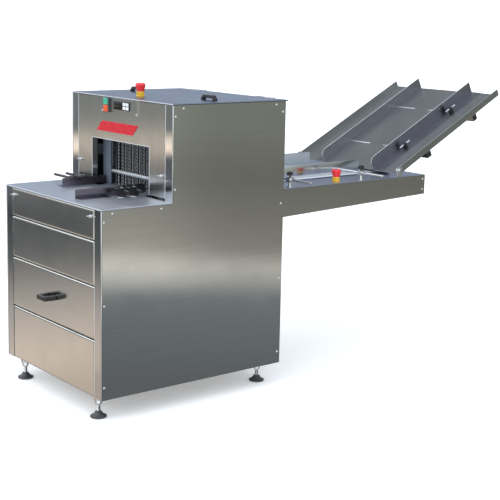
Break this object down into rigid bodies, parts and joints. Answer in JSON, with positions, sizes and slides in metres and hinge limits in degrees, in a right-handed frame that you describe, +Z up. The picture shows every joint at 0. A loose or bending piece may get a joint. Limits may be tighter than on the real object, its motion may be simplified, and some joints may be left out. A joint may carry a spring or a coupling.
{
  "type": "bread slicer machine",
  "caption": "Floor-standing stainless bread slicer: outfeed table, window with upright reciprocating blades, belt infeed with guides and a tilting loading chute.",
  "frame": {"origin": "on the floor, under the middle of the machine's bounding box", "axes": "+X from the outfeed table towards the loading chute, +Y to the left of a person who stands at the table and looks along +X, +Z up"},
  "size_m": [2.4492, 0.965, 1.3285],
  "materials": {
    "stainless": "brushed",
    "bright_steel": "polished",
    "dark_steel": "satin",
    "black_plastic": "satin",
    "grey_plastic": "satin",
    "red_plastic": "gloss",
    "yellow_plastic": "gloss",
    "green_plastic": "gloss",
    "orange_plastic": "gloss",
    "painted_steel": "satin",
    "belt_rubber": "matte",
    "belt_cover": "matte"
  },
  "bodies": {
    "machine": {"side_panels": "stainless", "upper_front_panel": "stainless", "fixed_front_panels": "stainless", "housing_front_panel": "stainless", "rear_panel": "stainless", "infeed_frame": "stainless", "chassis_frame": "stainless", "panel_screws": "bright_steel", "wing_screws": "bright_steel", "table_top": "bright_steel", "control_plate": "bright_steel", "foot_stems": "bright_steel", "infeed_deck": "bright_steel", "infeed_clamp_posts": "bright_steel", "chute_pivots": "bright_steel", "counter_display": "black_plastic", "cable_gland": "black_plastic", "outfeed_clamp_posts": "black_plastic", "button_box": "grey_plastic", "foot_pads": "grey_plastic", "name_plate": "red_plastic", "infeed_stop_collar": "yellow_plastic", "blade_tower": "painted_steel", "bearing_units": "painted_steel", "drive_motor": "painted_steel", "belt_gearmotor": "painted_steel", "drive_belt": "belt_rubber", "feed_belt": "belt_cover"},
    "drawer_unit": {"drawer": "stainless", "drawer_handle": "black_plastic"},
    "lid": {"roof_lid": "bright_steel", "lid_handles": "black_plastic", "roof_stop_collar": "yellow_plastic"},
    "roof_stop": {"roof_stop_head": "red_plastic"},
    "infeed_stop": {"infeed_stop_head": "red_plastic"},
    "start": {"start_button": "green_plastic"},
    "stop": {"stop_button": "orange_plastic"},
    "blade_unit_a": {"blade_frame_a": "painted_steel", "blades_a": "bright_steel"},
    "blade_unit_b": {"blade_frame_b": "painted_steel", "blades_b": "bright_steel"},
    "crank": {"crankshaft": "dark_steel", "crank_pulley": "painted_steel"},
    "motor_shaft": {"motor_pulley": "dark_steel"},
    "drive_roller": {"belt_drive_roller": "bright_steel"},
    "idler_roller": {"belt_idler_roller": "bright_steel"},
    "outfeed_right": {"outfeed_guide_right": "dark_steel"},
    "outfeed_left": {"outfeed_guide_left": "dark_steel"},
    "infeed_right": {"infeed_guide_right": "bright_steel"},
    "infeed_left": {"infeed_guide_left": "bright_steel"},
    "gate": {"hold_down_gate": "bright_steel"},
    "chute": {"chute_tray": "stainless"},
    "chute_right": {"chute_guide_right": "stainless", "chute_clamps_right": "black_plastic"},
    "chute_left": {"chute_guide_left": "stainless", "chute_clamps_left": "black_plastic"},
    "knob_right_front": {"infeed_knob_right_front": "black_plastic"},
    "knob_right_rear": {"infeed_knob_right_rear": "black_plastic"},
    "knob_left_front": {"infeed_knob_left_front": "black_plastic"},
    "knob_left_rear": {"infeed_knob_left_rear": "black_plastic"}
  },
  "joints": [
    {"name": "drawer_slide", "type": "slide", "parent": "machine", "child": "drawer_unit", "axis": [-1, 0, 0], "range_m": [0, 0.42]},
    {"name": "lid_hinge", "type": "hinge", "parent": "machine", "child": "lid", "pos_m": [-0.23726, 0, 1.268], "axis": [0, 1, 0], "range_deg": [0, 75]},
    {"name": "roof_stop_press", "type": "slide", "parent": "lid", "child": "roof_stop", "axis": [0, 0, -1], "range_m": [0, 0.006], "stiffness_N_per_m": 900},
    {"name": "infeed_stop_press", "type": "slide", "parent": "machine", "child": "infeed_stop", "axis": [0, 0, -1], "range_m": [0, 0.006], "stiffness_N_per_m": 900},
    {"name": "start_press", "type": "slide", "parent": "machine", "child": "start", "axis": [1, 0, 0], "range_m": [0, 0.004], "stiffness_N_per_m": 600},
    {"name": "stop_press", "type": "slide", "parent": "machine", "child": "stop", "axis": [1, 0, 0], "range_m": [0, 0.004], "stiffness_N_per_m": 600},
    {"name": "crank_turn", "type": "hinge", "parent": "machine", "child": "crank", "pos_m": [-0.74906, 0, 0.656], "axis": [1, 0, 0], "range_deg": [-90, 90]},
    {"name": "blades_a_stroke", "type": "slide", "parent": "machine", "child": "blade_unit_a", "axis": [0, 0, 1], "range_m": [-0.0201, 0.0201]},
    {"name": "blades_b_stroke", "type": "slide", "parent": "machine", "child": "blade_unit_b", "axis": [0, 0, 1], "range_m": [-0.0201, 0.0201]},
    {"name": "motor_turn", "type": "hinge", "parent": "machine", "child": "motor_shaft", "pos_m": [-0.69956, 0, 0.326], "axis": [1, 0, 0], "range_deg": [-226, 226]},
    {"name": "drive_roller_turn", "type": "hinge", "parent": "machine", "child": "drive_roller", "pos_m": [-0.64456, 0, 0.8457], "axis": [0, 1, 0], "continuous": true},
    {"name": "idler_roller_turn", "type": "hinge", "parent": "machine", "child": "idler_roller", "pos_m": [0.61844, 0, 0.8457], "axis": [0, 1, 0], "continuous": true},
    {"name": "outfeed_right_slide", "type": "slide", "parent": "machine", "child": "outfeed_right", "axis": [0, 1, 0], "range_m": [-0.04, 0.04]},
    {"name": "outfeed_left_slide", "type": "slide", "parent": "machine", "child": "outfeed_left", "axis": [0, -1, 0], "range_m": [0, 0.1]},
    {"name": "infeed_right_slide", "type": "slide", "parent": "machine", "child": "infeed_right", "axis": [0, 1, 0], "range_m": [0, 0.12]},
    {"name": "infeed_left_slide", "type": "slide", "parent": "machine", "child": "infeed_left", "axis": [0, -1, 0], "range_m": [0, 0.12]},
    {"name": "gate_swing", "type": "hinge", "parent": "machine", "child": "gate", "pos_m": [-0.76456, 0, 1.096], "axis": [0, 1, 0], "range_deg": [0, 45]},
    {"name": "chute_tilt", "type": "hinge", "parent": "machine", "child": "chute", "pos_m": [0.51544, 0, 0.907], "axis": [0, -1, 0], "range_deg": [0, 60]},
    {"name": "chute_right_slide", "type": "slide", "parent": "chute", "child": "chute_right", "axis": [0, 1, 0], "range_m": [0, 0.12]},
    {"name": "chute_left_slide", "type": "slide", "parent": "chute", "child": "chute_left", "axis": [0, -1, 0], "range_m": [0, 0.12]},
    {"name": "knob_right_front_turn", "type": "hinge", "parent": "machine", "child": "knob_right_front", "pos_m": [-0.15556, -0.335, 0.921], "axis": [0, 0, 1], "range_deg": [0, 720]},
    {"name": "knob_right_rear_turn", "type": "hinge", "parent": "machine", "child": "knob_right_rear", "pos_m": [0.28444, -0.335, 0.921], "axis": [0, 0, 1], "range_deg": [0, 720]},
    {"name": "knob_left_front_turn", "type": "hinge", "parent": "machine", "child": "knob_left_front", "pos_m": [-0.15556, 0.335, 0.921], "axis": [0, 0, 1], "range_deg": [0, 720]},
    {"name": "knob_left_rear_turn", "type": "hinge", "parent": "machine", "child": "knob_left_rear", "pos_m": [0.28444, 0.335, 0.921], "axis": [0, 0, 1], "range_deg": [0, 720]}
  ],
  "couplings": [
    {"joint": "blades_a_stroke", "follows": "crank_turn", "m_per_rad": 0.012732},
    {"joint": "blades_b_stroke", "follows": "crank_turn", "m_per_rad": -0.012732},
    {"joint": "motor_turn", "follows": "crank_turn", "ratio": 2.5},
    {"joint": "idler_roller_turn", "follows": "drive_roller_turn", "ratio": 1}
  ]
}
